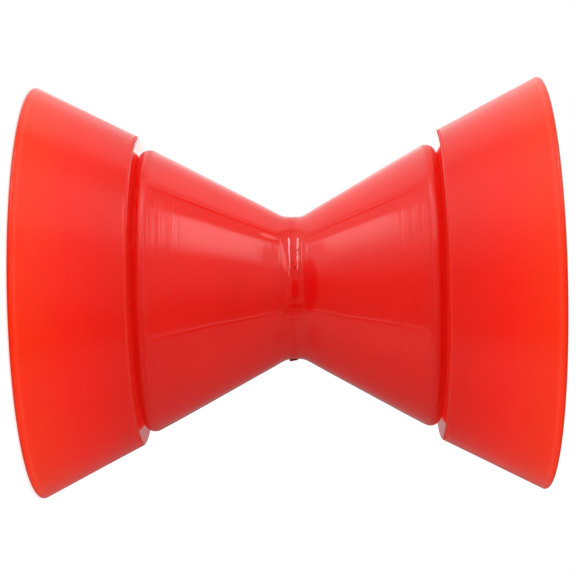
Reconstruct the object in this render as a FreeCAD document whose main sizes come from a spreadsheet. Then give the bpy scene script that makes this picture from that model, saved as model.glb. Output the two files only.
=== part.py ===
"""Bow roller of a boat trailer: an hourglass roller between two end bells.

Millimetres. The part stands on the rim of the left bell, with +Z along the
axis that the three mouldings turn about and the origin in the middle of that
rim. Each moulding is drawn as a half section, with its radius along x and its
height along y, and turned once round the axis.
"""
import FreeCAD, Part
import os

import Sketcher

SIZES = (
    # alias, value, what it is
    ("bore_radius", 6.6, "bore of all three mouldings, for a half inch shaft"),
    ("bore_bevel", 0.6, "bevel at both mouths of each bore"),
    ("face_gap", 0.15, "free play between each bell and the roller"),
    ("roller_length", 64.1, "length of the centre roller"),
    ("roller_end_radius", 32.25, "where the roller's cone meets its end face"),
    ("shoulder_round", 2.3, "round between the cone and the end face"),
    ("waist_radius", 15.6, "radius of the band at the waist"),
    ("waist_band", 3.7, "width of that band, from corner to corner"),
    ("waist_offset", 0.9, "how far the band's middle lies above the roller's middle"),
    ("waist_round", 4.5, "hollow round between the band and each cone"),
    ("gate_radius", 0.95, "radius of the gate nub on the band"),
    ("gate_height", 0.4, "how far the nub stands out of the band"),
    ("gate_root", 0.6, "how deep the nub is rooted in the band"),
    ("bell_height", 22.2, "length of a bell along the axis"),
    ("bell_face_radius", 33.5, "where a bell's cone meets its flat face"),
    ("bell_rim_radius", 44.9, "where a bell's cone meets the plane of its rim"),
    ("skirt_wall", 4.2, "thickness of the bell's skirt, across the axis"),
    ("bell_floor", 5.0, "thickness of the bell's floor"),
    ("face_round", 0.8, "round at the edge of the flat face"),
    ("rim_round", 0.5, "rounds at both edges of the rim"),
    ("floor_round", 4.0, "hollow round between the skirt and the floor"),
    ("hub_radius", 12.5, "radius of the hub at its open end"),
    ("hub_draft", 1.0, "how much wider the hub is at the floor"),
    ("hub_round", 3.0, "hollow round between the hub and the floor"),
    ("hub_edge_round", 0.8, "round at the open end of the hub"),
)

doc = FreeCAD.newDocument("boat_trailer_roller")
sheet = doc.addObject("Spreadsheet::Sheet", "Sizes")
for row, (alias, value, meaning) in enumerate(SIZES, start=1):
    sheet.set("A%d" % row, meaning)
    sheet.set("B%d" % row, str(value))
    sheet.setAlias("B%d" % row, alias)
doc.recompute()


def origin_plane(body, role):
    """The body's own plane with this role, such as XZ_Plane."""
    for feature in body.Origin.OriginFeatures:
        if feature.Role == role:
            return feature
    raise ValueError("no plane " + role)


def new_body(name):
    """An empty body whose label names its file."""
    body = doc.addObject("PartDesign::Body", name)
    body.Label = name
    return body


def bind(sketch, constraint, name, expression):
    """Adds a constraint under a name and ties its value to an expression."""
    index = sketch.addConstraint(constraint)
    sketch.renameConstraint(index, name)
    sketch.setExpression("Constraints." + name, expression)


def place_point(sketch, line, name, direction, axis, expression):
    """Ties one coordinate of a line's first point, or puts it on that axis."""
    if expression == "0":
        sketch.addConstraint(Sketcher.Constraint("PointOnObject", line, 1, axis))
        return
    value = float(sketch.evalExpression(expression))
    distance = Sketcher.Constraint(direction, -1, 1, line, 1, value)
    bind(sketch, distance, name, expression)


def half_section(body, name, corners):
    """A closed sketch through these corners, some of them rounded.

    A corner is a name, the expressions of its radius and height, and the
    expression of its round, or None where it stays sharp.
    """
    sketch = body.newObject("Sketcher::SketchObject", name)
    sketch.AttachmentSupport = [(origin_plane(body, "XZ_Plane"), "")]
    sketch.MapMode = "FlatFace"
    points = []
    for _, radius, height, _ in corners:
        x = float(sketch.evalExpression(radius))
        y = float(sketch.evalExpression(height))
        points.append(FreeCAD.Vector(x, y, 0))
    count = len(points)
    for i in range(count):
        line = Part.LineSegment(points[i], points[(i + 1) % count])
        sketch.addGeometry(line, False)
    for i in range(count):
        join = Sketcher.Constraint("Coincident", i, 2, (i + 1) % count, 1)
        sketch.addConstraint(join)
    for i, (corner, radius, height, _) in enumerate(corners):
        place_point(sketch, i, corner + "_radius", "DistanceX", -2, radius)
        place_point(sketch, i, corner + "_height", "DistanceY", -1, height)
    for i, (corner, _, _, rounding) in enumerate(corners):
        if rounding is not None:
            before = i - 1 if i > 0 else count - 1
            round_corner(sketch, before, i, corner, rounding)
    sketch.Visibility = False
    return sketch


def round_corner(sketch, line_before, line_after, corner, rounding):
    """Rounds the corner between two lines and keeps the corner as a point."""
    size = float(sketch.evalExpression(rounding))
    arc = sketch.GeometryCount
    before = sketch.Geometry[line_before].StartPoint
    after = sketch.Geometry[line_after].EndPoint
    sketch.fillet(line_before, line_after, before, after, size, True, True)
    radius = Sketcher.Constraint("Radius", arc, size)
    bind(sketch, radius, corner + "_round", rounding)


def turn(body, sketch, name):
    """Turns a half section once round the axis."""
    feature = body.newObject("PartDesign::Revolution", name)
    feature.Profile = sketch
    feature.ReferenceAxis = (sketch, ["V_Axis"])
    feature.Angle = 360
    return feature


# Centre roller: two cones that meet at a narrow band

WAIST_MIDDLE = "(Sizes.roller_length / 2 + Sizes.waist_offset)"
ROLLER_BEVEL_RADIUS = "Sizes.bore_radius + Sizes.bore_bevel"

centre_roller = new_body("centre_roller")
roller_section = half_section(centre_roller, "roller_section", (
    ("lower_mouth", ROLLER_BEVEL_RADIUS, "0", None),
    ("lower_shoulder", "Sizes.roller_end_radius", "0", "Sizes.shoulder_round"),
    ("lower_waist", "Sizes.waist_radius",
     WAIST_MIDDLE + " - Sizes.waist_band / 2", "Sizes.waist_round"),
    ("upper_waist", "Sizes.waist_radius",
     WAIST_MIDDLE + " + Sizes.waist_band / 2", "Sizes.waist_round"),
    ("upper_shoulder", "Sizes.roller_end_radius",
     "Sizes.roller_length", "Sizes.shoulder_round"),
    ("upper_mouth", ROLLER_BEVEL_RADIUS, "Sizes.roller_length", None),
    ("upper_bore", "Sizes.bore_radius",
     "Sizes.roller_length - Sizes.bore_bevel", None),
    ("lower_bore", "Sizes.bore_radius", "Sizes.bore_bevel", None),
))
turn(centre_roller, roller_section, "roller_turned")

# The nub is what is left of the gate where the plastic came in. It points
# along +X, in the middle of the band.

gate_sketch = centre_roller.newObject("Sketcher::SketchObject", "gate_sketch")
gate_sketch.AttachmentSupport = [(origin_plane(centre_roller, "YZ_Plane"), "")]
gate_sketch.MapMode = "FlatFace"
gate_sketch.setExpression("AttachmentOffset.Base.z", "Sizes.waist_radius - Sizes.gate_root")
gate_centre = FreeCAD.Vector(0, float(gate_sketch.evalExpression(WAIST_MIDDLE)), 0)
gate_size = float(gate_sketch.evalExpression("Sizes.gate_radius"))
gate_sketch.addGeometry(Part.Circle(gate_centre, FreeCAD.Vector(0, 0, 1), gate_size), False)
gate_sketch.addConstraint(Sketcher.Constraint("PointOnObject", 0, 3, -2))
bind(gate_sketch, Sketcher.Constraint("DistanceY", -1, 1, 0, 3, gate_centre.y),
     "gate_height", WAIST_MIDDLE)
bind(gate_sketch, Sketcher.Constraint("Radius", 0, gate_size), "gate_radius", "Sizes.gate_radius")
gate_sketch.Visibility = False

gate_nub = centre_roller.newObject("PartDesign::Pad", "gate_nub")
gate_nub.Profile = gate_sketch
gate_nub.setExpression("Length", "Sizes.gate_root + Sizes.gate_height")


# End bells: a thin skirt, a floor against the roller and a hub for the shaft

FLOOR_INSIDE = "(Sizes.bell_height - Sizes.bell_floor)"
SKIRT_SPREAD = "(Sizes.bell_rim_radius - Sizes.bell_face_radius)"
SKIRT_INSIDE_AT_FLOOR = ("Sizes.bell_face_radius - Sizes.skirt_wall + "
                         + SKIRT_SPREAD + " * Sizes.bell_floor / Sizes.bell_height")


def end_bell(name):
    """One bell, with its rim at height 0 and its flat face at the top."""
    body = new_body(name)
    section = half_section(body, name + "_section", (
        ("hub_mouth", ROLLER_BEVEL_RADIUS, "0", None),
        ("hub_edge", "Sizes.hub_radius", "0", "Sizes.hub_edge_round"),
        ("hub_foot", "Sizes.hub_radius + Sizes.hub_draft", FLOOR_INSIDE, "Sizes.hub_round"),
        ("skirt_foot", SKIRT_INSIDE_AT_FLOOR, FLOOR_INSIDE, "Sizes.floor_round"),
        ("rim_inside", "Sizes.bell_rim_radius - Sizes.skirt_wall", "0", "Sizes.rim_round"),
        ("rim_outside", "Sizes.bell_rim_radius", "0", "Sizes.rim_round"),
        ("face_edge", "Sizes.bell_face_radius", "Sizes.bell_height", "Sizes.face_round"),
        ("face_mouth", ROLLER_BEVEL_RADIUS, "Sizes.bell_height", None),
        ("face_bore", "Sizes.bore_radius",
         "Sizes.bell_height - Sizes.bore_bevel", None),
        ("hub_bore", "Sizes.bore_radius", "Sizes.bore_bevel", None),
    ))
    turn(body, section, name + "_turned")
    return body


left_bell = end_bell("left_bell")
right_bell = end_bell("right_bell")

# The roller stands on the left bell's flat face, and the right bell on it,
# turned over so that its rim is the top of the part.

centre_roller.setExpression("Placement.Base.z", "Sizes.bell_height + Sizes.face_gap")
UPSIDE_DOWN = FreeCAD.Rotation(FreeCAD.Vector(1, 0, 0), 180)
right_bell.Placement = FreeCAD.Placement(FreeCAD.Vector(0, 0, 0), UPSIDE_DOWN)
right_bell.setExpression(
    "Placement.Base.z",
    "2 * Sizes.bell_height + 2 * Sizes.face_gap + Sizes.roller_length")

doc.recompute()

# Checks, then one file for each moulding

for item in doc.Objects:
    if "Invalid" in item.State or "Error" in item.State:
        raise RuntimeError("%s failed: %s" % (item.Label, item.State))

os.makedirs("parts", exist_ok=True)
for body in (left_bell, centre_roller, right_bell):
    if body.Shape.isNull() or not body.Shape.isValid():
        raise RuntimeError(body.Label + " has no valid shape")
    if len(body.Shape.Solids) != 1:
        raise RuntimeError(body.Label + " is not one solid")
    body.Shape.exportStep("parts/" + body.Label + ".step")
    print(body.Label, "volume %.0f mm3" % body.Shape.Volume)
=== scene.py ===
"""Looks of the boat trailer roller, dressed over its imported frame.

Metres, in the frame of the CAD model: the part stands on the rim of its left
bell and +Z runs along the axis that its three mouldings turn about. In the
photograph it lies on its side, so the picture's up is -X here, its right is
+Z, and the camera looks along +Y.
"""

import math

import bpy
import numpy as np
from mathutils import Matrix, Vector, noise


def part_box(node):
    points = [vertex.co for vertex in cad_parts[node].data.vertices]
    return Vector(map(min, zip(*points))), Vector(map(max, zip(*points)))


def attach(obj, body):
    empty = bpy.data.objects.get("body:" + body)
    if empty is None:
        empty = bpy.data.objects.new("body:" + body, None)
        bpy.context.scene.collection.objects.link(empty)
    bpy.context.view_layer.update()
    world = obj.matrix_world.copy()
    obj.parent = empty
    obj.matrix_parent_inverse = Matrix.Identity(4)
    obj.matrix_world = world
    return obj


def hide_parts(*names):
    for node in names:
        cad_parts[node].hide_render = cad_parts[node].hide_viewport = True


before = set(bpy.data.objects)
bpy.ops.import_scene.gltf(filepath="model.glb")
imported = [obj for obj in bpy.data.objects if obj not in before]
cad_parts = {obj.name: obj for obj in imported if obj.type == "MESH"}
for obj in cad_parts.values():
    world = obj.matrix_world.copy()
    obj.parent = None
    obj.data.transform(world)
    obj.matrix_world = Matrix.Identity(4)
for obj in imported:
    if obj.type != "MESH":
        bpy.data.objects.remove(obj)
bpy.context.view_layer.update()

# Sizes of the mouldings, as in the part's source

BORE_RADIUS = 0.0066
BORE_BEVEL = 0.0006
ROLLER_LENGTH = 0.0641
ROLLER_END_RADIUS = 0.03225
SHOULDER_ROUND = 0.0023
WAIST_RADIUS = 0.0156
WAIST_BAND = 0.0037
WAIST_OFFSET = 0.0009
WAIST_ROUND = 0.0045
GATE_RADIUS = 0.00095
GATE_HEIGHT = 0.0004
GATE_ROOT = 0.0006
BELL_HEIGHT = 0.0222
BELL_FACE_RADIUS = 0.0335
BELL_RIM_RADIUS = 0.0449
SKIRT_WALL = 0.0042
BELL_FLOOR = 0.0050
FACE_ROUND = 0.0008
RIM_ROUND = 0.0005
FLOOR_ROUND = 0.0040
HUB_RADIUS = 0.0125
HUB_DRAFT = 0.0010
HUB_ROUND = 0.0030
HUB_EDGE_ROUND = 0.0008

# Where the frame holds them

ROLLER_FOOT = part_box("centre_roller")[0].z
ROLLER_MIDDLE = ROLLER_FOOT + ROLLER_LENGTH / 2
WAIST_MIDDLE = ROLLER_MIDDLE + WAIST_OFFSET
LEFT_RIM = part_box("left_bell")[0].z
RIGHT_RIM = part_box("right_bell")[1].z
OBJECT_MIDDLE = (LEFT_RIM + RIGHT_RIM) / 2

# How finely they are turned

SEGMENTS = 320
ARC_STEP = math.radians(12)
SHARP_ANGLE = math.radians(32)
CONE_STEP = 0.00036
SKIRT_STEP = 0.0012


# Turned surfaces

def rounded_corner(before, corner, after, radius):
    """Points of the arc that rounds a corner of an outline."""
    to_before = (before - corner).normalized()
    to_after = (after - corner).normalized()
    half = to_before.angle(to_after) / 2
    reach = radius / math.tan(half)
    centre = corner + (to_before + to_after).normalized() * radius / math.sin(half)
    first = corner + to_before * reach - centre
    last = corner + to_after * reach - centre
    turn = first.angle_signed(last)
    steps = max(2, math.ceil(abs(turn) / ARC_STEP))
    points = []
    for i in range(steps + 1):
        arm = Matrix.Rotation(-turn * i / steps, 2) @ first
        points.append(centre + arm)
    return points


def outline(corners):
    """A closed outline through corners of (radius, height, round, spacing).

    The spacing is the longest step on the run that follows the corner, and
    None leaves that run whole.
    """
    places = [Vector((radius, height)) for radius, height, _, _ in corners]
    runs = []
    for i, (_, _, rounding, spacing) in enumerate(corners):
        after = places[(i + 1) % len(places)]
        if rounding is None:
            arc = [places[i]]
        else:
            arc = rounded_corner(places[i - 1], places[i], after, rounding)
        runs.append((arc, spacing))
    points = []
    for i, (arc, spacing) in enumerate(runs):
        points.extend(arc)
        if spacing is None:
            continue
        start = arc[-1]
        end = runs[(i + 1) % len(runs)][0][0]
        steps = math.ceil((end - start).length / spacing)
        points.extend(start.lerp(end, k / steps) for k in range(1, steps))
    return np.array(points)


def outward(points):
    """Unit normals of a closed outline that runs with its solid on the left."""
    along = np.roll(points, -1, axis=0) - np.roll(points, 1, axis=0)
    normals = np.stack([along[:, 1], -along[:, 0]], axis=1)
    return normals / np.linalg.norm(normals, axis=1, keepdims=True)


def turned(name, points, relief=None):
    """A closed mesh turned from an outline, with a relief along its normals."""
    count = len(points)
    angles = np.arange(SEGMENTS) * 2 * math.pi / SEGMENTS
    radius = np.repeat(points[:, 0:1], SEGMENTS, axis=1)
    height = np.repeat(points[:, 1:2], SEGMENTS, axis=1)
    if relief is not None:
        normals = outward(points)
        lift = np.array([[relief(r, h, angle) for angle in angles] for r, h in points])
        radius = radius + lift * normals[:, 0:1]
        height = height + lift * normals[:, 1:2]
    x = radius * np.cos(angles)
    y = radius * np.sin(angles)
    vertices = np.stack([x, y, height], axis=2).reshape(-1, 3)
    faces = []
    for i in range(count):
        this_ring = i * SEGMENTS
        next_ring = (i + 1) % count * SEGMENTS
        for j in range(SEGMENTS):
            k = (j + 1) % SEGMENTS
            faces.append((this_ring + j, this_ring + k, next_ring + k, next_ring + j))
    mesh = bpy.data.meshes.new(name)
    mesh.from_pydata(vertices.tolist(), [], faces)
    mesh.validate()
    mesh.shade_smooth()
    mesh.set_sharp_from_angle(angle=SHARP_ANGLE)
    piece = bpy.data.objects.new(name, mesh)
    bpy.context.scene.collection.objects.link(piece)
    return piece


def dress(piece, body, material, node=None):
    """Gives a piece its body and its material in one slot, and hides the node it stands for."""
    piece.data.materials.clear()
    piece.data.materials.append(material)
    if node is not None:
        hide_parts(node)
    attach(piece, body)


# Outlines

def roller_outline():
    """Half section of the centre roller, from its lower mouth outwards."""
    foot = ROLLER_FOOT
    top = ROLLER_FOOT + ROLLER_LENGTH
    mouth = BORE_RADIUS + BORE_BEVEL
    lower_waist = WAIST_MIDDLE - WAIST_BAND / 2
    upper_waist = WAIST_MIDDLE + WAIST_BAND / 2
    return outline((
        (mouth, foot, None, None),
        (ROLLER_END_RADIUS, foot, SHOULDER_ROUND, CONE_STEP),
        (WAIST_RADIUS, lower_waist, WAIST_ROUND, CONE_STEP),
        (WAIST_RADIUS, upper_waist, WAIST_ROUND, CONE_STEP),
        (ROLLER_END_RADIUS, top, SHOULDER_ROUND, None),
        (mouth, top, None, None),
        (BORE_RADIUS, top - BORE_BEVEL, None, None),
        (BORE_RADIUS, foot + BORE_BEVEL, None, None),
    ))


def bell_outline():
    """Half section of a bell, with its rim at height 0 and its face on top."""
    floor_inside = BELL_HEIGHT - BELL_FLOOR
    spread = BELL_RIM_RADIUS - BELL_FACE_RADIUS
    skirt_foot = BELL_FACE_RADIUS - SKIRT_WALL + spread * BELL_FLOOR / BELL_HEIGHT
    mouth = BORE_RADIUS + BORE_BEVEL
    return outline((
        (mouth, 0.0, None, None),
        (HUB_RADIUS, 0.0, HUB_EDGE_ROUND, SKIRT_STEP),
        (HUB_RADIUS + HUB_DRAFT, floor_inside, HUB_ROUND, SKIRT_STEP),
        (skirt_foot, floor_inside, FLOOR_ROUND, SKIRT_STEP),
        (BELL_RIM_RADIUS - SKIRT_WALL, 0.0, RIM_ROUND, None),
        (BELL_RIM_RADIUS, 0.0, RIM_ROUND, SKIRT_STEP),
        (BELL_FACE_RADIUS, BELL_HEIGHT, FACE_ROUND, SKIRT_STEP),
        (mouth, BELL_HEIGHT, None, None),
        (BORE_RADIUS, BELL_HEIGHT - BORE_BEVEL, None, None),
        (BORE_RADIUS, BORE_BEVEL, None, None),
    ))


# Reliefs: what moulding leaves on each surface

BORE_MARGIN = 0.00001
SAG_DEPTH = 0.00003
SAG_LENGTH = 0.009
# The cones ease off towards the shoulders and towards the waist
EASE_OUTER = 0.0082
EASE_OUTER_SLOPE = 0.018
EASE_OUTER_WIDTH = 0.0003
EASE_FADE = 0.0034
EASE_INNER = 0.0070
EASE_INNER_SLOPE = -0.012
EASE_INNER_WIDTH = 0.0005
# Beyond this many widths the easing has no effect
EASE_WIDTHS = 30
RIPPLE_DEPTH = 0.000010
RIPPLE_LENGTH = 0.0010
RIPPLE_START = 0.0015
RIPPLE_REACH = 0.0062
RIPPLE_SCALE = 1.5
# The flash drifts along the axis and is broken where its share falls to 0
FLASH_HEIGHT = 0.00005
FLASH_WIDTH = 0.00016
FLASH_PLACE = 0.0010
FLASH_DRIFT = 0.00020
FLASH_DRIFT_SCALE = 9
FLASH_SHARE = 0.5
FLASH_SHARE_SWING = 0.9
FLASH_SHARE_SCALE = 16
STEP_PLACE = 0.00175
STEP_DEPTH = 0.00008
WARP_DEPTH = 0.00005
WARP_LENGTH = 0.016
WARP_FADE = 0.004
# Each noise is read at a place of its own
SAG_SEED = 7.3
FLASH_DRIFT_SEED = 1.7
FLASH_SHARE_SEED = 4.1
WARP_SEED = 3.9


def noise_at(x, y, z):
    """Smooth noise from -1 to 1."""
    return noise.noise(Vector((x, y, z)))


def bell_curve(distance, width):
    """A smooth hump of height 1 at distance 0."""
    return math.exp(-((distance / width) ** 2))


def eased(distance, width):
    """Integral of a smooth step: 0 well below 0, and the distance itself well above."""
    if distance > EASE_WIDTHS * width:
        return distance
    return width * math.log1p(math.exp(distance / width))


def roller_relief(radius, height, angle):
    """Slow sag, easy ends of the cones, ripples by the shoulders and flash at the waist."""
    if radius < BORE_RADIUS + BORE_BEVEL + BORE_MARGIN:
        return 0.0
    east, north = math.cos(angle), math.sin(angle)
    x = radius * east
    y = radius * north
    lift = SAG_DEPTH * noise_at(x / SAG_LENGTH, y / SAG_LENGTH, height / SAG_LENGTH + SAG_SEED)
    from_end = ROLLER_LENGTH / 2 - abs(height - ROLLER_MIDDLE)
    from_waist = height - WAIST_MIDDLE
    share = min(1.0, from_end / EASE_FADE)
    off_face = share * share * (3 - 2 * share)
    lift -= off_face * EASE_OUTER_SLOPE * eased(EASE_OUTER - from_end, EASE_OUTER_WIDTH)
    lift += EASE_INNER_SLOPE * eased(EASE_INNER - abs(from_waist), EASE_INNER_WIDTH)
    if from_end < 2 * RIPPLE_REACH:
        strength = bell_curve(max(0.0, from_end - RIPPLE_START), RIPPLE_REACH)
        wave = noise_at(height / RIPPLE_LENGTH, east * RIPPLE_SCALE, north * RIPPLE_SCALE)
        lift += RIPPLE_DEPTH * strength * wave
    if abs(from_waist) < 2 * WAIST_BAND:
        drift = FLASH_DRIFT * noise_at(
            east * FLASH_DRIFT_SCALE, north * FLASH_DRIFT_SCALE, FLASH_DRIFT_SEED)
        left_over = FLASH_SHARE + FLASH_SHARE_SWING * noise_at(
            east * FLASH_SHARE_SCALE, north * FLASH_SHARE_SCALE, FLASH_SHARE_SEED)
        flash = bell_curve(from_waist - FLASH_PLACE - drift, FLASH_WIDTH)
        lift += FLASH_HEIGHT * max(0.0, left_over) * flash
        lift -= STEP_DEPTH * bell_curve(from_waist - STEP_PLACE, FLASH_WIDTH * 2)
    return lift


def bell_relief(radius, height, angle):
    """The slow warp that a thin moulded skirt has."""
    if radius < HUB_RADIUS:
        return 0.0
    x = radius * math.cos(angle) / WARP_LENGTH
    y = radius * math.sin(angle) / WARP_LENGTH
    off_rim = min(1.0, height / WARP_FADE) ** 2
    return off_rim * WARP_DEPTH * noise_at(x, y, height / WARP_LENGTH + WARP_SEED)


# Nodes. Their owner is a material or a world.

def new_material(name):
    """An empty node material with its shader and output."""
    material = bpy.data.materials.new(name)
    material.use_nodes = True
    nodes = material.node_tree.nodes
    nodes.clear()
    output = nodes.new("ShaderNodeOutputMaterial")
    shader = nodes.new("ShaderNodeBsdfPrincipled")
    material.node_tree.links.new(shader.outputs["BSDF"], output.inputs["Surface"])
    return material, shader


def add(owner, kind, **properties):
    """A new node of this kind, with these properties."""
    node = owner.node_tree.nodes.new(kind)
    for name, value in properties.items():
        setattr(node, name, value)
    return node


def feed(owner, value, target):
    """Gives an input a number, a colour or another node's output."""
    if isinstance(value, bpy.types.NodeSocket):
        owner.node_tree.links.new(value, target)
    elif isinstance(value, tuple):
        target.default_value = (*value, 1)
    else:
        target.default_value = value


def coordinates(owner, kind):
    """X, Y and Z of a place on the object, or of a direction in the world."""
    place = add(owner, "ShaderNodeTexCoord")
    split = add(owner, "ShaderNodeSeparateXYZ")
    feed(owner, place.outputs[kind], split.inputs["Vector"])
    return split.outputs["X"], split.outputs["Y"], split.outputs["Z"]


def mottle(owner, scale, detail=2.0, stretch=(1, 1, 1)):
    """Noise over the object, from 0 to 1, with its places stretched first."""
    place = add(owner, "ShaderNodeTexCoord")
    mapping = add(owner, "ShaderNodeMapping")
    mapping.inputs["Scale"].default_value = stretch
    feed(owner, place.outputs["Object"], mapping.inputs["Vector"])
    texture = add(owner, "ShaderNodeTexNoise")
    texture.inputs["Scale"].default_value = scale
    texture.inputs["Detail"].default_value = detail
    feed(owner, mapping.outputs["Vector"], texture.inputs["Vector"])
    return texture.outputs["Fac"]


def ramp(owner, source, stops):
    """Colours at stops of (position, colour)."""
    node = add(owner, "ShaderNodeValToRGB")
    elements = node.color_ramp.elements
    while len(elements) > 1:
        elements.remove(elements[0])
    elements[0].position = stops[0][0]
    elements[0].color = (*stops[0][1], 1)
    for position, colour in stops[1:]:
        elements.new(position).color = (*colour, 1)
    feed(owner, source, node.inputs["Fac"])
    return node.outputs["Color"]


def between(owner, source, low, high, to_low=0.0, to_high=1.0, smooth=True):
    """Maps a value from one range to another, and keeps it inside."""
    node = add(owner, "ShaderNodeMapRange")
    if smooth:
        node.interpolation_type = "SMOOTHSTEP"
    node.inputs["From Min"].default_value = low
    node.inputs["From Max"].default_value = high
    node.inputs["To Min"].default_value = to_low
    node.inputs["To Max"].default_value = to_high
    feed(owner, source, node.inputs["Value"])
    return node.outputs["Result"]


def maths(owner, operation, *values):
    """A maths node whose inputs are sockets or plain numbers."""
    node = add(owner, "ShaderNodeMath", operation=operation)
    for i, value in enumerate(values):
        feed(owner, value, node.inputs[i])
    return node.outputs[0]


def product(owner, first, second):
    """Two values multiplied."""
    return maths(owner, "MULTIPLY", first, second)


def blended(owner, factor, low, high, kind="RGBA"):
    """A colour or number between two others, each a socket or plain."""
    node = add(owner, "ShaderNodeMix", data_type=kind)
    feed(owner, factor, node.inputs["Factor"])
    feed(owner, low, node.inputs["A"])
    feed(owner, high, node.inputs["B"])
    return node.outputs["Result"]


def away_from(owner, source, centre):
    """How far a value lies from a centre, to either side."""
    return maths(owner, "ABSOLUTE", maths(owner, "SUBTRACT", source, centre))


def hump(owner, source, centre, half_width, height):
    """A smooth line of this height round a centre."""
    return between(owner, away_from(owner, source, centre), 0.0, half_width * 2, height, 0.0)


def picture_axes(owner, kind):
    """Coordinates as the photograph shows them: up, near and along to the right."""
    x, y, z = coordinates(owner, kind)
    return product(owner, x, -1.0), product(owner, y, -1.0), z


def turn_of(owner, up, near):
    """Turn round the axis in degrees, from the camera's side to the picture's top."""
    return maths(owner, "DEGREES", maths(owner, "ARCTAN2", up, near))


# Plastics

SCATTER_LENGTHS = (1.0, 0.12, 0.06)
SCATTER_FORWARD = 0.3
PLASTIC_IOR = 1.49
BUMP_DISTANCE = 0.0001
# Noise runs from 0 to 1, and most of it lies in this span
NOISE_SPAN = (0.3, 0.7)
NARROW_SPAN = (0.35, 0.65)


def translucent(shader, depth):
    """Light enters the plastic and comes out again nearby."""
    shader.inputs["Subsurface Weight"].default_value = 1.0
    shader.inputs["Subsurface Radius"].default_value = SCATTER_LENGTHS
    shader.inputs["Subsurface Scale"].default_value = depth
    shader.inputs["Subsurface Anisotropy"].default_value = SCATTER_FORWARD
    shader.inputs["IOR"].default_value = PLASTIC_IOR


def bump(material, shader, height, strength):
    """Fine relief from a height, on the shader's normal."""
    node = add(material, "ShaderNodeBump")
    feed(material, strength, node.inputs["Strength"])
    node.inputs["Distance"].default_value = BUMP_DISTANCE
    feed(material, height, node.inputs["Height"])
    feed(material, node.outputs["Normal"], shader.inputs["Normal"])


# Painted glow: emission that stands in for light coming through the plastic into the gap between
# the mouldings
GAP_GLOW = (1.0, 0.045, 0.030)
GAP_GLOW_LEVEL = 0.088
GAP_GLOW_REACH = 0.0016
FACE_GLOW_LEVEL = 0.120
FACE_GLOW_REACH = 0.00022

# The roller. A reach is how far from its end faces a change begins and is full.

ROLLER_DEPTH = 0.012
ROLLER_RED = (0.860, 0.0125, 0.0045)
ROLLER_DEEP_RED = (0.810, 0.0095, 0.0035)
CLOUD_SCALE = 60
# Painted light: a brighter red by the shoulders, beside the gap to the bells
SHOULDER_LIT_RED = (0.985, 0.009, 0.002)
SHOULDER_REACH = (0.0032, 0.0008)
ROLLER_POLISH = (0.035, 0.06)
ROLLER_POLISH_SCALE = 220
DULL_REACH = (0.0046, 0.0018)
DULL_RANGE = (0.20, 0.42)
SHOULDER_MATT = 0.35
SHADE_PATCH_MATT = 0.6
GLOSSY_TO_MATT = (0.5, 0.05)
# Fine lines round the roller, deeper towards its ends
LINE_SCALE = (30, 30, 1400)
LINE_REACH = (0.0130, 0.0060)
LINE_STRENGTH = (0.10, 0.50)
# Painted highlight streaks by the shoulders, on the side that faces up and
# towards the camera, as turns where they begin, are full, begin to fade and are gone
GLINT_STREAK_TURN = (12, 20, 34, 43)
GLINT_STREAK_REACH = (0.0110, 0.0070)
GLINT_STREAK_SCALE = (16, 16, 2300)
GLINT_STREAK_SPAN = (0.54, 0.70)
GLINT_STREAK_LEVEL = 0.28

# Patches at the waist, as (turn, place, half turn, half width, lean, taper).
# The turn is round the axis from the camera's side towards the picture's top,
# in degrees. The place is along the axis from the object's middle, in
# millimetres, and leans with the turn. The taper widens a mark as it turns.
MILLIMETRES = 1000
# Painted shade: darker patches at the waist, where less light reaches or is reflected
WAIST_SHADE_PATCHES = (
    (-1.5, 1.25, 7.5, 0.80, 0.0, 0.0),
    (-14.0, 1.2, 1.6, 1.60, 0.0, 0.0),
)
# A patch of painted shade that is cut off straight at this place
CUT_SHADE_PATCH = ((1.8, 4.1, 21.0, 1.85, 0.0, 0.15),)
CUT_PLACE = 3.1
CUT_SOFTNESS = 0.1
# Fainter painted shade, mostly on the waist's lower side
FAINT_SHADE_PATCHES = (
    (-40.0, 4.9, 15.0, 1.60, 0.0, 0.0),
    (-41.0, -1.8, 6.0, 1.50, 0.0, 0.0),
    (-5.0, -1.3, 4.5, 0.60, 0.06, 0.0),
)
# Painted highlights: paler patches and lines across the waist
WAIST_HIGHLIGHT_PATCHES = (
    (28.0, -1.25, 13.0, 0.46, -0.038, -0.6),
    (39.5, -4.1, 1.6, 1.75, 0.0, 0.0),
    (24.0, 2.10, 2.2, 0.26, 0.0, 0.0),
    (29.0, 2.75, 9.0, 0.10, 0.0, 0.0),
    (13.0, -0.05, 4.5, 0.14, -0.04, 0.0),
)
DARK_FLECKS = (
    (31.0, 1.95, 1.0, 0.22, 0.20, 0.0),
    (27.0, 1.65, 0.8, 0.14, -0.20, 0.0),
    (19.5, 0.70, 0.8, 0.14, 0.10, 0.0),
    (16.0, 1.25, 1.2, 0.26, 0.0, 0.0),
    (12.0, 2.00, 0.8, 0.18, 0.15, 0.0),
)
# Colours of the painted shade, the painted highlights and the dark flecks
PAINTED_SHADE_RED = (0.84, 0.003, 0.001)
PALE_RED = (0.98, 0.150, 0.130)
FLECK_RED = (0.58, 0.003, 0.002)
FAINT_STRENGTH = 0.5
PALE_STRENGTH = 0.8
DARK_SOFTNESS = 0.14
FAINT_SOFTNESS = 0.6
PALE_SOFTNESS = 0.35
FLECK_SOFTNESS = 0.4


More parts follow.
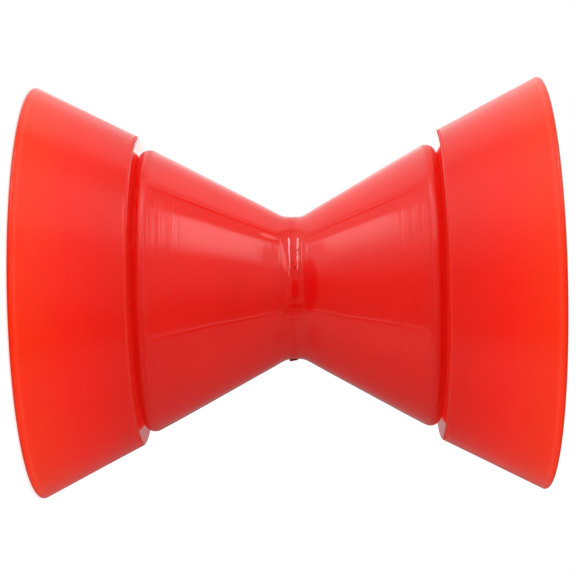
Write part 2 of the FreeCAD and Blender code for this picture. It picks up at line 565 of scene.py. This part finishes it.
def patches(material, turn, place, marks, softness):
    """1 inside any of these marks and 0 outside, with soft edges."""
    mask = None
    for mark_turn, mark_place, half_turn, half_width, lean, taper in marks:
        round_it = maths(material, "SUBTRACT", turn, mark_turn)
        centre = maths(material, "ADD", product(material, round_it, lean), mark_place)
        along = maths(material, "SUBTRACT", place, centre)
        share = maths(material, "DIVIDE", round_it, half_turn)
        width = maths(material, "MULTIPLY_ADD", share, taper * half_width, half_width)
        across = maths(material, "DIVIDE", along, width)
        square = maths(material, "ADD",
                       product(material, share, share), product(material, across, across))
        distance = maths(material, "SQRT", square)
        inside = between(material, distance, 1 - softness, 1 + softness, 1.0, 0.0)
        mask = inside if mask is None else maths(material, "MAXIMUM", mask, inside)
    return mask


def painted_waist_shade(material, turn, place):
    """Painted shade at the roller's waist: full patches, then faint ones."""
    cut = between(material, place, CUT_PLACE - CUT_SOFTNESS, CUT_PLACE + CUT_SOFTNESS)
    cut_shade_patch = product(material, patches(material, turn, place, CUT_SHADE_PATCH, DARK_SOFTNESS), cut)
    full = patches(material, turn, place, WAIST_SHADE_PATCHES, DARK_SOFTNESS)
    faint = patches(material, turn, place, FAINT_SHADE_PATCHES, FAINT_SOFTNESS)
    dark = maths(material, "MAXIMUM", full, cut_shade_patch)
    return maths(material, "MAXIMUM", dark, product(material, faint, FAINT_STRENGTH))


def roller_plastic():
    """Glossy red plastic with faint lines round it, duller by the shoulders, with painted shade,
    highlights and glow.
    """
    material, shader = new_material("roller_plastic")
    translucent(shader, ROLLER_DEPTH)
    up, near, height = picture_axes(material, "Object")
    from_middle = away_from(material, height, ROLLER_MIDDLE)
    turn = turn_of(material, up, near)
    from_centre = maths(material, "SUBTRACT", height, OBJECT_MIDDLE)
    place = product(material, from_centre, MILLIMETRES)

    def towards_end(reach, low=0.0, high=1.0):
        """Goes from low to high between two distances from the end faces."""
        half = ROLLER_LENGTH / 2
        return between(material, from_middle, half - reach[0], half - reach[1], low, high)

    clouds = mottle(material, CLOUD_SCALE, detail=3.0)
    colour = ramp(material, clouds,
                  ((NARROW_SPAN[0], ROLLER_DEEP_RED), (NARROW_SPAN[1], ROLLER_RED)))
    # Painted light: brighter red by the shoulders
    colour = blended(material, towards_end(SHOULDER_REACH), colour, SHOULDER_LIT_RED)
    # Painted shade at the waist
    shade = painted_waist_shade(material, turn, place)
    colour = blended(material, shade, colour, PAINTED_SHADE_RED)
    # Painted highlights at the waist
    pale = patches(material, turn, place, WAIST_HIGHLIGHT_PATCHES, PALE_SOFTNESS)
    colour = blended(material, product(material, pale, PALE_STRENGTH), colour, PALE_RED)
    # Painted highlight streaks by the shoulders, on the lit side only
    streak_lines = between(material, mottle(material, 1.0, stretch=GLINT_STREAK_SCALE),
                        *GLINT_STREAK_SPAN, 0.0, GLINT_STREAK_LEVEL)
    facing = product(material, between(material, turn, GLINT_STREAK_TURN[0], GLINT_STREAK_TURN[1]),
                     between(material, turn, GLINT_STREAK_TURN[2], GLINT_STREAK_TURN[3], 1.0, 0.0))
    painted_streaks = product(material, facing, product(material, towards_end(GLINT_STREAK_REACH), streak_lines))
    colour = blended(material, painted_streaks, colour, PALE_RED)
    flecks = patches(material, turn, place, DARK_FLECKS, FLECK_SOFTNESS)
    colour = blended(material, flecks, colour, FLECK_RED)
    feed(material, colour, shader.inputs["Base Color"])

    near_end = towards_end(DULL_REACH)
    matt = maths(material, "MAXIMUM", product(material, shade, SHADE_PATCH_MATT), flecks)
    matt = maths(material, "MAXIMUM", matt, product(material, near_end, SHOULDER_MATT))
    gloss = between(material, matt, 0.0, 1.0, *GLOSSY_TO_MATT)
    feed(material, gloss, shader.inputs["Specular IOR Level"])
    lines = mottle(material, 1.0, detail=3.0, stretch=LINE_SCALE)
    dull = product(material, near_end, between(material, lines, *NARROW_SPAN, *DULL_RANGE))
    grain = mottle(material, ROLLER_POLISH_SCALE)
    polish = between(material, grain, *NOISE_SPAN, *ROLLER_POLISH)
    feed(material, maths(material, "ADD", polish, dull), shader.inputs["Roughness"])
    bump(material, shader, lines, towards_end(LINE_REACH, *LINE_STRENGTH))

    # Painted glow by the end faces, beside the gap to the bells
    feed(material, GAP_GLOW, shader.inputs["Emission Color"])
    glow = towards_end((GAP_GLOW_REACH, 0.0), 0.0, GAP_GLOW_LEVEL)
    feed(material, glow, shader.inputs["Emission Strength"])
    return material


# The bells. A reach is measured from the face or from the rim.

BELL_DEPTH = 0.016
# Painted light: deep red at the face to orange at the rim, for light through the thin skirt
BELL_RED = (0.700, 0.0105, 0.002)
BELL_MIDDLE_RED = (0.865, 0.0150, 0.002)
BELL_GLOW_ORANGE = (0.998, 0.040, 0.001)
BELL_SPECULAR = 0.38
BELL_SATIN = (0.16, 0.22)
BELL_SATIN_SCALE = 160
BELL_GRAIN_SCALE = 900
BELL_GRAIN_STRENGTH = 0.05
# Both edges are glossier than the skirt between them
EDGE_GLOSS = 0.08
FACE_GLOSS_REACH = (0.0005, 0.0009)
RIM_GLOSS_REACH = (0.0008, 0.0006)
# The round beside a bell's face is duller
ROUND_DULL = 0.35
ROUND_DULL_STARTS = (0.00008, 0.00016)
ROUND_DULL_ENDS = (0.00050, 0.00065)
# Painted shade: the darker edge of a bell's face, beside the gap
FACE_EDGE_SHADE = (0.53, 0.009, 0.002)
FACE_EDGE_REACH = (0.00010, 0.00045)
FACE_EDGE_RADIUS = (0.0296, 0.0306)
# A painted highlight: a paler line in the skirt, just inside its rim
RIM_HIGHLIGHT = (0.998, 0.110, 0.040)
RIM_LINE_PLACE = 0.0014
RIM_LINE_WIDTH = 0.0003
RIM_LINE_STRENGTH = 0.35
# Painted shade: the skirt's darker outer edge
RIM_EDGE_SHADE = (0.42, 0.030, 0.002)
RIM_EDGE_REACH = (0.00075, 0.000375)
RIM_EDGE_RADIUS = (0.04395, 0.04415)


def bell_plastic():
    """Satin red plastic, painted orange towards the rim for light through the thin skirt, with
    painted shade, highlight and glow by its edges.
    """
    material, shader = new_material("bell_plastic")
    translucent(shader, BELL_DEPTH)
    x, y, height = coordinates(material, "Object")
    from_middle = away_from(material, height, OBJECT_MIDDLE)
    radius = maths(material, "SQRT",
                   maths(material, "MULTIPLY_ADD", x, x, product(material, y, y)))
    rim = (RIGHT_RIM - LEFT_RIM) / 2
    face = rim - BELL_HEIGHT

    def off_face(reach, low=0.0, high=1.0):
        """Goes from low to high between two distances from the face."""
        return between(material, from_middle, face + reach[0], face + reach[1], low, high)

    def towards_rim(reach, low=0.0, high=1.0):
        """Goes from low to high between two distances from the rim."""
        return between(material, from_middle, rim - reach[0], rim - reach[1], low, high)

    # Painted light: orange grows towards the rim, where the skirt lets light through
    thin = between(material, from_middle, face, rim)
    colour = ramp(material, thin, ((0.0, BELL_RED), (0.5, BELL_MIDDLE_RED), (1.0, BELL_GLOW_ORANGE)))
    # Painted highlight just inside the rim
    rim_highlight = hump(material, from_middle, rim - RIM_LINE_PLACE, RIM_LINE_WIDTH, RIM_LINE_STRENGTH)
    colour = blended(material, rim_highlight, colour, RIM_HIGHLIGHT)
    # Painted shade along the rim's outer edge
    rim_edge_shade = product(material, towards_rim(RIM_EDGE_REACH),
                       between(material, radius, *RIM_EDGE_RADIUS))
    colour = blended(material, rim_edge_shade, colour, RIM_EDGE_SHADE)
    # Painted shade at the face's edge, beside the gap
    face_edge_shade = product(material, off_face(FACE_EDGE_REACH, 1.0, 0.0),
                        between(material, radius, *FACE_EDGE_RADIUS))
    colour = blended(material, face_edge_shade, colour, FACE_EDGE_SHADE)
    feed(material, colour, shader.inputs["Base Color"])

    shader.inputs["Specular IOR Level"].default_value = BELL_SPECULAR
    satin = between(material, mottle(material, BELL_SATIN_SCALE, detail=3.0),
                    *NOISE_SPAN, *BELL_SATIN)
    skirt = product(material, off_face(FACE_GLOSS_REACH), towards_rim(RIM_GLOSS_REACH, 1.0, 0.0))
    finish = blended(material, skirt, EDGE_GLOSS, satin, "FLOAT")
    dull = product(material, off_face(ROUND_DULL_STARTS),
                   off_face(ROUND_DULL_ENDS, ROUND_DULL, 0.0))
    feed(material, maths(material, "ADD", finish, dull), shader.inputs["Roughness"])
    bump(material, shader, mottle(material, BELL_GRAIN_SCALE), BELL_GRAIN_STRENGTH)

    # Painted glow on the face, beside the gap to the roller
    feed(material, GAP_GLOW, shader.inputs["Emission Color"])
    painted_face_glow = off_face((0.0, FACE_GLOW_REACH), FACE_GLOW_LEVEL, 0.0)
    feed(material, painted_face_glow, shader.inputs["Emission Strength"])
    return material


# The gate: its torn end is shifted, tilted, worn down and dished

GATE_SHIFT = -0.00035
GATE_TILT = math.radians(-11)
GATE_WORN = 0.00010
GATE_DISH = 0.00018
GATE_EDGE_ROUND = 0.00015
GATE_CORE = 0.00012
GATE_DEPTH = 0.001
# Mottled torn end; its dark red is painted shade, on the waist's side away from the light
GATE_SHADE_RED = (0.22, 0.006, 0.010)
GATE_PALE_SHADE_RED = (0.34, 0.02, 0.03)
GATE_ROUGHNESS = 0.38
TEAR_SCALE = 1800
TEAR_STRENGTH = 0.5


def gate_plastic():
    """Torn, dull end of the gate, mottled, in a dark red that is painted shade."""
    material, shader = new_material("gate_plastic")
    translucent(shader, GATE_DEPTH)
    tear = mottle(material, TEAR_SCALE, detail=3.0)
    colour = ramp(material, tear, ((NOISE_SPAN[0], GATE_SHADE_RED), (NOISE_SPAN[1], GATE_PALE_SHADE_RED)))
    feed(material, colour, shader.inputs["Base Color"])
    shader.inputs["Roughness"].default_value = GATE_ROUGHNESS
    bump(material, shader, tear, TEAR_STRENGTH)
    return material


def gate_nub():
    """What is left of the gate: a low torn stub on the waist, along +X."""
    base = WAIST_RADIUS - GATE_ROOT
    top = WAIST_RADIUS + GATE_HEIGHT - GATE_WORN
    stub = outline((
        (GATE_CORE, base, None, None),
        (GATE_RADIUS, base, None, None),
        (GATE_RADIUS, top, GATE_EDGE_ROUND, None),
        (GATE_CORE, top - GATE_DISH, None, None),
    ))
    piece = turned("gate_nub", stub)
    to_top = Matrix.Translation((0, 0, -top))
    tilt = to_top.inverted() @ Matrix.Rotation(GATE_TILT, 4, "Y") @ to_top
    on_waist = Matrix.Translation((0, 0, WAIST_MIDDLE + GATE_SHIFT))
    piece.data.transform(on_waist @ Matrix.Rotation(math.pi / 2, 4, "Y") @ tilt)
    return piece


# Camera, fitted to the outline in the photograph

CAMERA_DISTANCE = 0.3934
CAMERA_ALONG = 0.0061
CAMERA_YAW = math.radians(-0.960)
CAMERA_ROLL = math.radians(-1.188)
CAMERA_LENS = 112.74
SENSOR = 36.0
CLIP_START = 0.01
CLIP_END = 20.0
PICTURE_TO_PART = Matrix(((0, 0, -1), (0, 1, 0), (1, 0, 0)))


def place_camera():
    """A level camera in the picture's own axes, turned into the part's frame."""
    ahead = Vector((math.sin(CAMERA_YAW), math.cos(CAMERA_YAW), 0))
    right_hand = Vector((math.cos(CAMERA_YAW), -math.sin(CAMERA_YAW), 0))
    upward = Vector((0, 0, 1))
    rolled_right = right_hand * math.cos(CAMERA_ROLL) + upward * math.sin(CAMERA_ROLL)
    rolled_up = upward * math.cos(CAMERA_ROLL) - right_hand * math.sin(CAMERA_ROLL)
    place = Vector((CAMERA_ALONG, -CAMERA_DISTANCE, 0))
    turn = Matrix((rolled_right, rolled_up, -ahead)).transposed()
    stand = (PICTURE_TO_PART @ turn).to_4x4()
    stand.translation = PICTURE_TO_PART @ place + Vector((0, 0, OBJECT_MIDDLE))
    data = bpy.data.cameras.new("camera")
    data.lens = CAMERA_LENS
    data.sensor_width = SENSOR
    data.clip_start = CLIP_START
    data.clip_end = CLIP_END
    camera = bpy.data.objects.new("camera", data)
    camera.matrix_world = stand
    bpy.context.scene.collection.objects.link(camera)
    bpy.context.scene.camera = camera


# Studio: what the part reflects

# Levels by the angle round the axis, where 0 points at the camera's side and
# 90 at the picture's top. The part's left half and right half look along the
# axis to different sides, so each side has its own levels.
STUDIO_LEFT = (
    (-180, 0.85), (-176, 0.34), (-164, 0.25), (-155, 0.21), (-148, 0.18), (-130, 0.21),
    (-110, 0.28), (-90, 0.35), (-62, 0.40), (-48.5, 0.34), (-45.5, 0.22), (-38, 0.15),
    (-20, 0.19), (-10, 0.26), (0, 0.32), (12, 0.42), (27, 0.49), (37, 0.57), (42, 0.71),
    (47, 0.95), (52, 1.00), (80, 1.08), (86, 0.80), (92, 0.62), (101, 0.58), (112, 0.95),
    (122, 0.86), (136, 0.66), (150, 0.78), (160, 0.95), (172, 1.40), (180, 1.75),
)
STUDIO_RIGHT = (
    (-180, 0.85), (-176, 0.34), (-164, 0.25), (-152, 0.22), (-142, 0.20), (-130, 0.21),
    (-110, 0.28), (-90, 0.36), (-70, 0.48), (-57, 0.48), (-48.5, 0.43), (-45.5, 0.27),
    (-38, 0.19), (-15, 0.20), (0, 0.23), (12, 0.27), (22, 0.42), (32, 0.57), (42, 0.77),
    (50, 1.00), (60, 1.14), (75, 1.24), (84, 1.20), (90, 0.96), (98, 0.84), (112, 0.94),
    (126, 0.94), (150, 0.86), (165, 1.10), (172, 1.40), (180, 1.75),
)
# What each softbox adds, by the same angle
SOFTBOX_LEFT = (
    (43, 0.0), (48, 0.35), (52, 0.95), (57, 1.40), (62, 1.80), (67, 1.90), (80, 1.85),
    (84, 1.60), (87, 0.0),
)
SOFTBOX_RIGHT = (
    (50, 0.0), (57, 0.25), (62, 0.45), (67, 0.80), (72, 1.05), (77, 1.30), (82, 1.50),
    (87, 1.40), (90, 0.0),
)
# Each side, as (levels, softbox, its span, its lean, inner edge and outer edge
# of a strip beside the lens). A span or edge is an angle along the axis. A
# softbox has its span at SOFTBOX_TURN, and leans by so much for each degree.
STUDIO_SIDES = (
    (STUDIO_LEFT, SOFTBOX_LEFT, (42.5, 47.1), 0.23, (2.4, 3.2), (6.4, 7.6)),
    (STUDIO_RIGHT, SOFTBOX_RIGHT, (47.3, 51.5), 0.26, (7.0, 7.8), (12.0, 13.0)),
)
SOFTBOX_TURN = 65
SOFTBOX_BLUR = 0.5
STRIP_LEVELS = ((28, 0.0), (36, 4.50), (60, 8.00), (86, 8.00), (89, 0.0))
SIDE_BLUR = 1
# Between the strips, where the lens is, the studio is darker
LENS_GAP = (1.6, 2.6)
LENS_GAP_LEVEL = 0.75
# Dark joints of the tent above the softboxes, as (turn, half width, depth)
TENT_JOINTS = ((103.5, 1.3, 0.55), (109, 0.9, 0.40))
# Edge of the table, as a light line and the dark line under it
TABLE_LINES = ((-46.8, 0.9, -0.55), (-49.4, 1.1, 0.30))
# Dark flags stand behind, at both sides of the backdrop, and at both ends
FLAG_TURN = (160, 171)
FLAG_LEFT = (-7.6, -6.2)
FLAG_RIGHT = (6.8, 7.6)
FLAG_ENDS = (55, 66)
FLAG_LEVEL = 0.05
# Soft light for all but gloss: its level, its slope up and its rise at the ends
DIFFUSE_LEVEL = 0.735
DIFFUSE_SLOPE = 0.39
DIFFUSE_ENDS = 0.85
WHITE = (1, 1, 1)


def by_turn(world, turn, stops):
    """Levels at stops of (angle round the axis, level)."""
    places = [((degrees + 180) / 360, (level,) * 3) for degrees, level in stops]
    return ramp(world, turn, places)


def softbox_window(world, away, degrees, span, lean):
    """1 where a softbox stands, by the angles along the axis and round it."""
    shear = product(world, maths(world, "SUBTRACT", degrees, SOFTBOX_TURN), lean)
    leaning = maths(world, "ADD", away, shear)
    blur = SOFTBOX_BLUR / 2
    starts = between(world, leaning, span[0] - blur, span[0] + blur)
    ends = between(world, leaning, span[1] - blur, span[1] + blur, 1.0, 0.0)
    return product(world, starts, ends)


def studio_gloss(world, up, near, along):
    """Level of the studio in a direction, for gloss."""
    degrees = turn_of(world, up, near)
    turn = between(world, degrees, -180, 180, 0.0, 1.0, smooth=False)
    tilt = maths(world, "DEGREES", maths(world, "ARCSINE", along))
    away = maths(world, "ABSOLUTE", tilt)
    sides = []
    for levels, softbox, span, lean, inner, outer in STUDIO_SIDES:
        window = softbox_window(world, away, degrees, span, lean)
        added = product(world, by_turn(world, turn, softbox), window)
        side = maths(world, "ADD", by_turn(world, turn, levels), added)
        strip = product(world, between(world, away, *inner), between(world, away, *outer, 1.0, 0.0))
        strip = product(world, by_turn(world, turn, STRIP_LEVELS), strip)
        sides.append(maths(world, "ADD", side, strip))
    to_left = between(world, tilt, -SIDE_BLUR, SIDE_BLUR)
    level = blended(world, to_left, sides[1], sides[0], "FLOAT")
    for centre, half_width, depth in TENT_JOINTS + TABLE_LINES:
        level = maths(world, "SUBTRACT", level, hump(world, degrees, centre, half_width, depth))
    level = product(world, level, between(world, away, *LENS_GAP, LENS_GAP_LEVEL, 1.0))
    behind = between(world, maths(world, "ABSOLUTE", degrees), *FLAG_TURN)
    left_flag = between(world, tilt, *FLAG_LEFT, 1.0, 0.0)
    right_flag = between(world, tilt, *FLAG_RIGHT)
    flag = product(world, behind, maths(world, "MAXIMUM", left_flag, right_flag))
    flag = maths(world, "MAXIMUM", flag, between(world, away, *FLAG_ENDS))
    return product(world, level, between(world, flag, 0.0, 1.0, 1.0, FLAG_LEVEL))


def background(world, colour):
    """A background of strength 1 in this colour."""
    node = add(world, "ShaderNodeBackground")
    feed(world, colour, node.inputs["Color"])
    node.inputs["Strength"].default_value = 1.0
    return node.outputs["Background"]


def studio_world():
    """White to the camera, softboxes to gloss and a soft slope to the rest."""
    world = bpy.data.worlds.new("studio")
    bpy.context.scene.world = world
    world.use_nodes = True
    world.node_tree.nodes.clear()
    up, near, along = picture_axes(world, "Generated")
    gloss = studio_gloss(world, up, near, along)
    soft = maths(world, "MULTIPLY_ADD", up, DIFFUSE_SLOPE, DIFFUSE_LEVEL)
    soft = maths(world, "MULTIPLY_ADD", product(world, along, along), DIFFUSE_ENDS, soft)
    path = add(world, "ShaderNodeLightPath")
    level = blended(world, path.outputs["Is Glossy Ray"], soft, gloss, "FLOAT")
    choose = add(world, "ShaderNodeMixShader")
    feed(world, path.outputs["Is Camera Ray"], choose.inputs["Fac"])
    feed(world, background(world, level), choose.inputs[1])
    feed(world, background(world, WHITE), choose.inputs[2])
    output = add(world, "ShaderNodeOutputWorld")
    feed(world, choose.outputs["Shader"], output.inputs["Surface"])


FLOOR_HALF = 1.5
FLOOR_HEIGHT = -0.0002
FLOOR_GREY = (0.50, 0.50, 0.50)
FLOOR_ROUGHNESS = 0.9
FLOOR_GLOW = 0.62


def pale_floor():
    """A pale floor that the part stands on, white to the camera but for shade."""
    mesh = bpy.data.meshes.new("floor")
    corners = [(x * FLOOR_HALF, y * FLOOR_HALF, FLOOR_HEIGHT)
               for x, y in ((-1, -1), (1, -1), (1, 1), (-1, 1))]
    mesh.from_pydata(corners, [], [(0, 1, 2, 3)])
    floor = bpy.data.objects.new("floor", mesh)
    bpy.context.scene.collection.objects.link(floor)
    material, shader = new_material("floor")
    feed(material, FLOOR_GREY, shader.inputs["Base Color"])
    shader.inputs["Roughness"].default_value = FLOOR_ROUGHNESS
    shader.inputs["Specular IOR Level"].default_value = 0.0
    feed(material, WHITE, shader.inputs["Emission Color"])
    shader.inputs["Emission Strength"].default_value = FLOOR_GLOW
    floor.data.materials.append(material)
    floor.visible_diffuse = False
    floor.visible_glossy = False
    floor.visible_transmission = False
    floor.visible_shadow = False


# Pieces and stage

ROLLER_MATERIAL = roller_plastic()
BELL_MATERIAL = bell_plastic()

roller = turned("centre_roller_moulding", roller_outline(), roller_relief)
dress(roller, "roller", ROLLER_MATERIAL, "centre_roller")

left = turned("left_bell_moulding", bell_outline(), bell_relief)
left.data.transform(Matrix.Translation((0, 0, LEFT_RIM)))
dress(left, "left_bell", BELL_MATERIAL, "left_bell")

right = turned("right_bell_moulding", bell_outline(), bell_relief)
right.data.transform(Matrix.Translation((0, 0, RIGHT_RIM)) @ Matrix.Rotation(math.pi, 4, "X"))
dress(right, "right_bell", BELL_MATERIAL, "right_bell")

place_camera()
studio_world()
pale_floor()

nub = gate_nub()
dress(nub, "roller", gate_plastic())

bpy.context.scene.view_settings.view_transform = "Standard"
